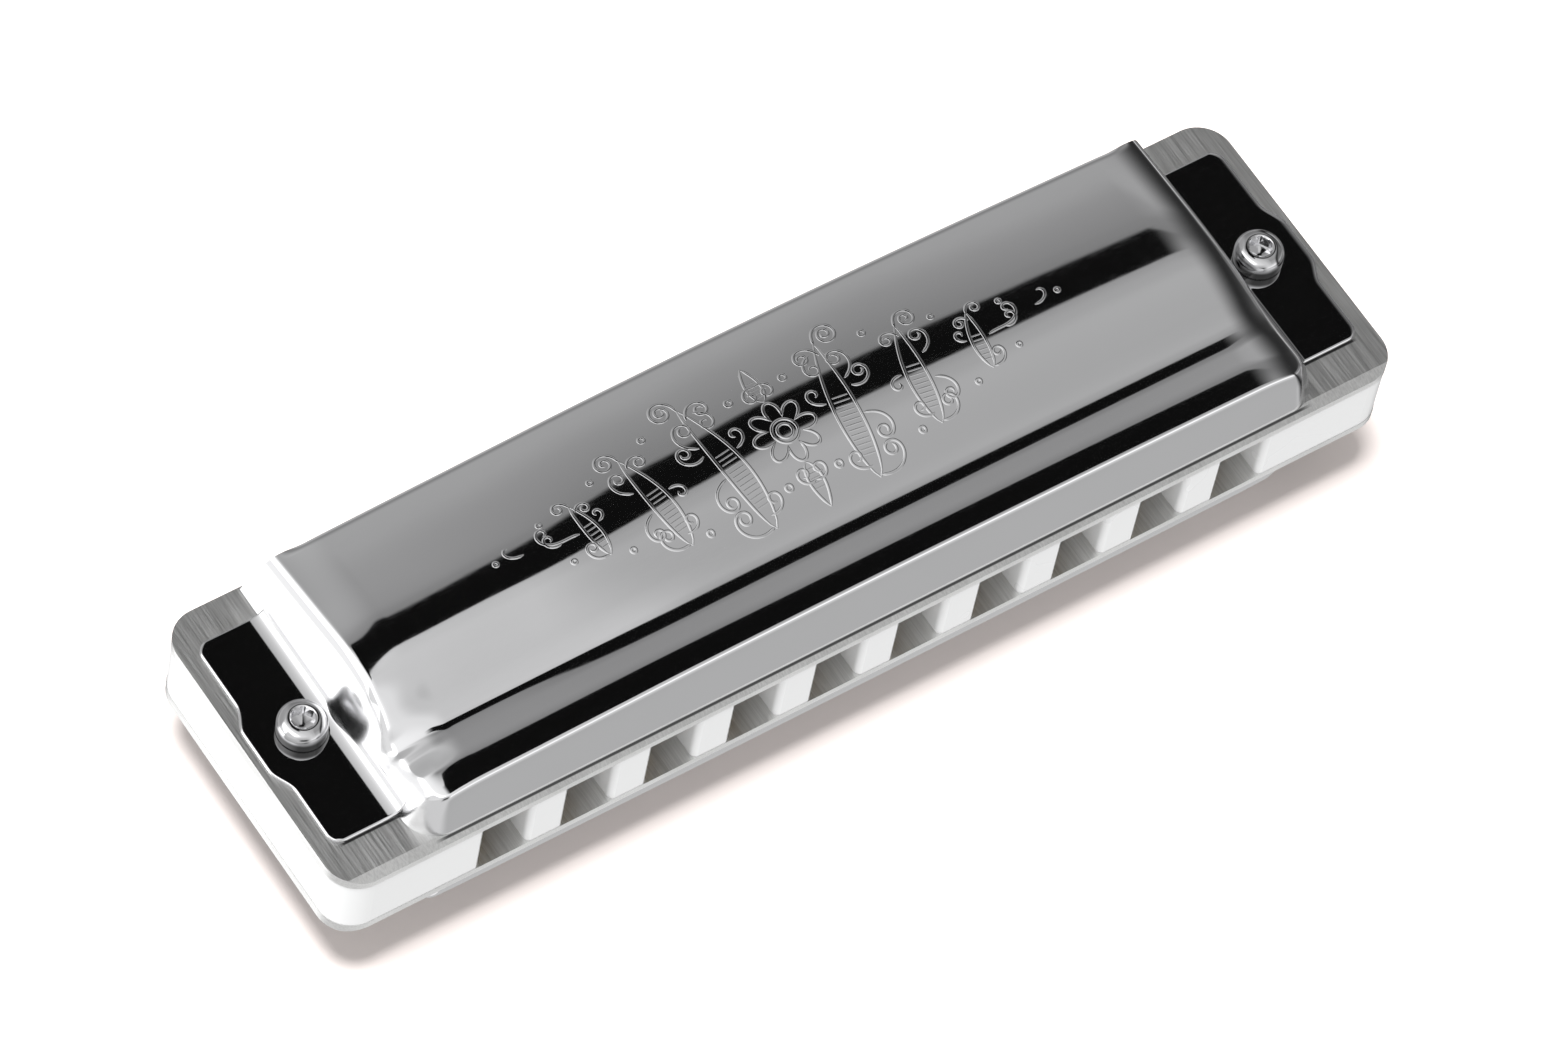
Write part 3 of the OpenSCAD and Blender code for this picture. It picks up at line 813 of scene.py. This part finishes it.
def reed_mesh(i, root, direction, face):
    """A reed with its riveted pad, lying under the plate whose lower face is at height face."""
    x, length = hole_x(i), reed_length(i)
    stations = [(along, PAD_W / 2 - trim, PAD_T) for along, trim in PAD_TRIMS]
    stations += [(0.0, REED_W / 2, PAD_T - 0.02), (0.1, REED_W / 2, REED_T)]
    heavy = lerp(0.24, 0.12, (i - 1) / (HOLES - 1))      # low reeds keep a thick tip
    for k in range(1, REED_STEPS + 1):
        t = k / REED_STEPS
        thick = lerp(REED_T, REED_THIN, smooth((t - 0.06) / 0.3))
        thick += (heavy - REED_THIN) * smooth((t - 0.55) / 0.3)
        stations.append((lerp(0.1, length - 0.04, t), REED_W / 2 - 0.06 * t, min(thick, REED_T)))
    rows = []
    for along, half, thick in stations:
        y = root + direction * along
        low, high, inner = face - thick, face, half - REED_BEVEL
        rows.append([(x - inner, y, low), (x + inner, y, low),
                     (x + half, y, low + REED_BEVEL), (x + half, y, high - REED_BEVEL),
                     (x + inner, y, high), (x - inner, y, high),
                     (x - half, y, high - REED_BEVEL), (x - half, y, low + REED_BEVEL)])
    shell = Shell()
    n = len(rows[0])
    shell.grid(rows, wrap=True, flip=direction > 0)
    last = (len(rows) - 1) * n
    caps = [tuple(range(n)), tuple(range(last + n - 1, last - 1, -1))]
    shell.faces += caps if direction > 0 else [c[::-1] for c in caps]
    return shell


for i in range(1, HOLES + 1):
    for kind, root, direction, face in (("blow", BLOW_ROOT_Y, 1, Z_UPPER_PLATE),
                                        ("draw", DRAW_TIP_Y + reed_length(i), -1, Z_LOWER_PLATE)):
        shell = reed_mesh(i, root, direction, face)
        reed = piece(f"{kind}_reed_{i}_brass", shell.verts, shell.faces, BRASS, sharp=25)
        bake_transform(reed)
        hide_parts(f"{kind}_reed_{i}", f"{kind}_reed_pads")


RIVET_R = 0.5
RIVET_DOME = ((0.85, 0.0), (0.85, 0.08), (0.81, 0.16), (0.71, 0.24), (0.55, 0.3), (0.34, 0.34), (0.15, 0.35),
              (0, 0.35))


def rivets_mesh(kind):
    """Ten rivets through the pads and their plate, with a dome at each end."""
    shell = Shell()
    low = (Z_UPPER_PLATE if kind == "blow" else Z_LOWER_PLATE) - PAD_T
    high = Z_UPPER_COVER if kind == "blow" else Z_COMB
    for i in range(1, HOLES + 1):
        y = BLOW_ROOT_Y - PAD_L / 2 if kind == "blow" else DRAW_TIP_Y + reed_length(i) + PAD_L / 2
        rings = [(radius, low - h) for radius, h in RIVET_DOME[::-1]] + [(RIVET_R, low), (RIVET_R, high)]
        rings += [(radius, high + h) for radius, h in RIVET_DOME]
        shell.lathe((hole_x(i), y), rings, 32)
    return shell


for kind in ("blow", "draw"):
    shell = rivets_mesh(kind)
    rivets = piece(f"{kind}_rivets_domed", shell.verts, shell.faces, RIVET_BRASS, sharp=50)
    finish_piece(rivets, "body", "rivet", f"{kind}_reed_rivets")


# ---------------------------------------------------------------- parts that keep their CAD shape
# (node, material, width of the broken edges)
KEPT = (("comb", COMB, 0.12), ("upper_reed_plate", PLATE, 0.05), ("lower_reed_plate", PLATE, 0.05),
        ("reed_plate_screws", SMALL_SCREW, 0.06))
for name, look, width in KEPT:
    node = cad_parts[name]
    node.data.materials.clear()
    node.data.materials.append(look)
    soft = node.modifiers.new("broken edges", "BEVEL")
    soft.width = width * MM
    soft.segments = 2
    soft.limit_method = "ANGLE"
    soft.angle_limit = rad(35)
    soft.harden_normals = True


# ---------------------------------------------------------------- studio
def floor_build(n, shader):
    """Matt pale paper with faint clouds."""
    cloud = n.noise(n.place(), 3, 3)
    n.put(n.mix(cloud, (0.61, 0.56, 0.54, 1), (0.63, 0.575, 0.555, 1)), shader.inputs["Base Color"])
    shader.inputs["Roughness"].default_value = 0.9
    shader.inputs["Specular IOR Level"].default_value = 0.0


FLOOR = 3000                             # half of its side
corners = [(-FLOOR, -FLOOR, 0), (FLOOR, -FLOOR, 0), (FLOOR, FLOOR, 0), (-FLOOR, FLOOR, 0)]
floor = piece("floor", corners, [(0, 1, 2, 3)], material("floor_paper", floor_build))
floor.visible_glossy = False
floor.visible_diffuse = False

sun = bpy.data.objects.new("key", bpy.data.lights.new("key", "SUN"))
bpy.context.scene.collection.objects.link(sun)
sun.data.energy = 6.2
sun.data.angle = rad(20)
sun.visible_glossy = False
toward = Vector((-0.15, 0.04, 1.0))
sun.rotation_euler = toward.to_track_quat("Z", "Y").to_euler()

world = bpy.data.worlds.new("studio")
bpy.context.scene.world = world
world.use_nodes = True
world.cycles.sampling_method = "NONE"
tree = world.node_tree
tree.nodes.clear()
n = Nodes(tree)
split = n.new("SeparateXYZ")
n.put(n.new("TexCoord").outputs["Generated"], split.inputs[0])
dx, dy, dz = split.outputs
theta = n.math("MULTIPLY", n.math("ARCTAN2", dy, dz), 180 / math.pi)

# Tones of the studio by angle from overhead, from below through the mouth side and overhead to the back
TONES = ((-180, 0.95), (-152, 0.95), (-140, 0.60), (-130, 0.50), (-110, 0.49), (-92, 0.75), (-80, 1.35),
         (-68, 0.95), (-55, 0.64), (-40, 0.54), (-22, 0.42), (-8, 0.46), (6, 0.48), (12, 0.43), (18, 0.36),
         (28, 0.24), (32, 0.26), (34.6, 0.31), (35.8, 0.36), (37, 0.42), (44, 0.36), (56, 0.28), (78, 0.26),
         (100, 0.45), (130, 0.55), (180, 0.55))
ramp = n.new("ValToRGB")
ramp.color_ramp.interpolation = "EASE"
while len(ramp.color_ramp.elements) < len(TONES):
    ramp.color_ramp.elements.new(0.5)
for element, (angle, tone) in zip(ramp.color_ramp.elements, TONES):
    element.position = (angle + 180) / 360
    element.color = grey(tone)
n.put(n.math("MULTIPLY_ADD", theta, 1 / 360, 0.5), ramp.inputs[0])
tone = ramp.outputs[0]


def both(*factors):
    """Product of factors: the directions that lie in all of their zones."""
    product = factors[-1]
    for factor in factors[-2::-1]:
        product = n.math("MULTIPLY", factor, product)
    return product


DARK, WALL, WHITE, BRIGHT = grey(0.03), grey(0.95), grey(1.08), grey(2.6)

# A pale wall on the left: over the mouth side and the middle, and fainter over the back
over_mouth = both(n.ramp(dx, 0.37, 0.31), n.ramp(theta, 30, 18), n.ramp(theta, -90, -65))
tone = n.mix(both(over_mouth, n.ramp(dx, 0.30, 0.10, 0.42, 0.85)), tone, WALL)
over_back = both(n.ramp(dx, 0.36, 0.30), n.ramp(theta, 28, 36))
tone = n.mix(both(over_back, n.ramp(dx, 0.30, 0.05, 0.02, 0.3)), tone, WALL)

# Further left, white from the mouth side round to the back, with dark corners low down at both ends of it
behind = n.math("MAXIMUM", n.ramp(theta, -80, -95), n.ramp(theta, 150, 160))
corner = n.mix(n.math("MAXIMUM", behind, n.ramp(dx, -0.50, -0.70)), grey(0.05), grey(0.72))
near_level = both(n.ramp(dx, -0.62, -0.85), n.ramp(dy, 0.22, 0.06))
white = both(n.math("SUBTRACT", 1.0, near_level), n.ramp(dy, 0.68, 0.54), n.ramp(theta, -75, -60),
             n.ramp(theta, 168, 152))
not_low = both(n.ramp(theta, -75, -60), n.ramp(theta, 120, 105))
pale = n.mix(n.ramp(theta, -35, -62), WHITE, grey(0.66))
tone = n.mix(n.ramp(dx, 0.10, -0.30), tone, n.mix(white, n.mix(not_low, corner, tone), pale))

# The brightest lights, far left
overhead = both(n.ramp(theta, 62, 48), n.ramp(theta, -45, -20))
lights = both(white, n.math("ADD", overhead, n.ramp(theta, 100, 120)))
tone = n.mix(both(n.ramp(dx, -0.30, -0.60), lights), tone, BRIGHT)

# A dark wall on the right, and a dim studio with one light strip beyond it
strip = both(n.ramp(theta, 58, 66), n.ramp(theta, 84, 74))
beyond = n.mix(strip, n.mix(0.45, DARK, tone), grey(0.9))
tone = n.mix(n.ramp(dx, 0.56, 0.70), tone, DARK)
tone = n.mix(n.ramp(dx, 0.70, 0.84), tone, beyond)

# The black gap between the overhead lights: its left end bends towards the front, and its right end narrows
middle = n.ramp(dx, 0.24, 0.0, 23.4, 13.4)
off = n.math("ABSOLUTE", n.math("SUBTRACT", theta, middle))
wider = n.math("MULTIPLY", n.math("MINIMUM", n.math("SUBTRACT", 0.38, dx), 0.10), 10)
gap = both(n.ramp(n.math("SUBTRACT", off, wider), 7.0, 5.8), n.ramp(dx, -0.10, 0.06), n.ramp(dx, 0.62, 0.45))
tone = n.mix(gap, tone, grey(0.005))

# Mirrors see the studio, matt surfaces a soft light that is stronger from the left, and the camera white
background = n.new("Background")
n.put(tone, background.inputs["Color"])
ambient = n.new("Background")
n.put(n.ramp(dx, 0.6, -0.8, 0.72, 1.15), ambient.inputs["Color"])
plain = n.new("Background")
plain.inputs["Color"].default_value = grey(1)
path = n.new("LightPath")
first, second = n.new("MixShader"), n.new("MixShader")
n.put(path.outputs["Is Diffuse Ray"], first.inputs[0])
n.put(background.outputs[0], first.inputs[1])
n.put(ambient.outputs[0], first.inputs[2])
n.put(path.outputs["Is Camera Ray"], second.inputs[0])
n.put(first.outputs[0], second.inputs[1])
n.put(plain.outputs[0], second.inputs[2])
n.put(second.outputs[0], n.new("OutputWorld").inputs["Surface"])
bpy.context.scene.view_settings.view_transform = "Standard"

bpy.context.view_layer.update()
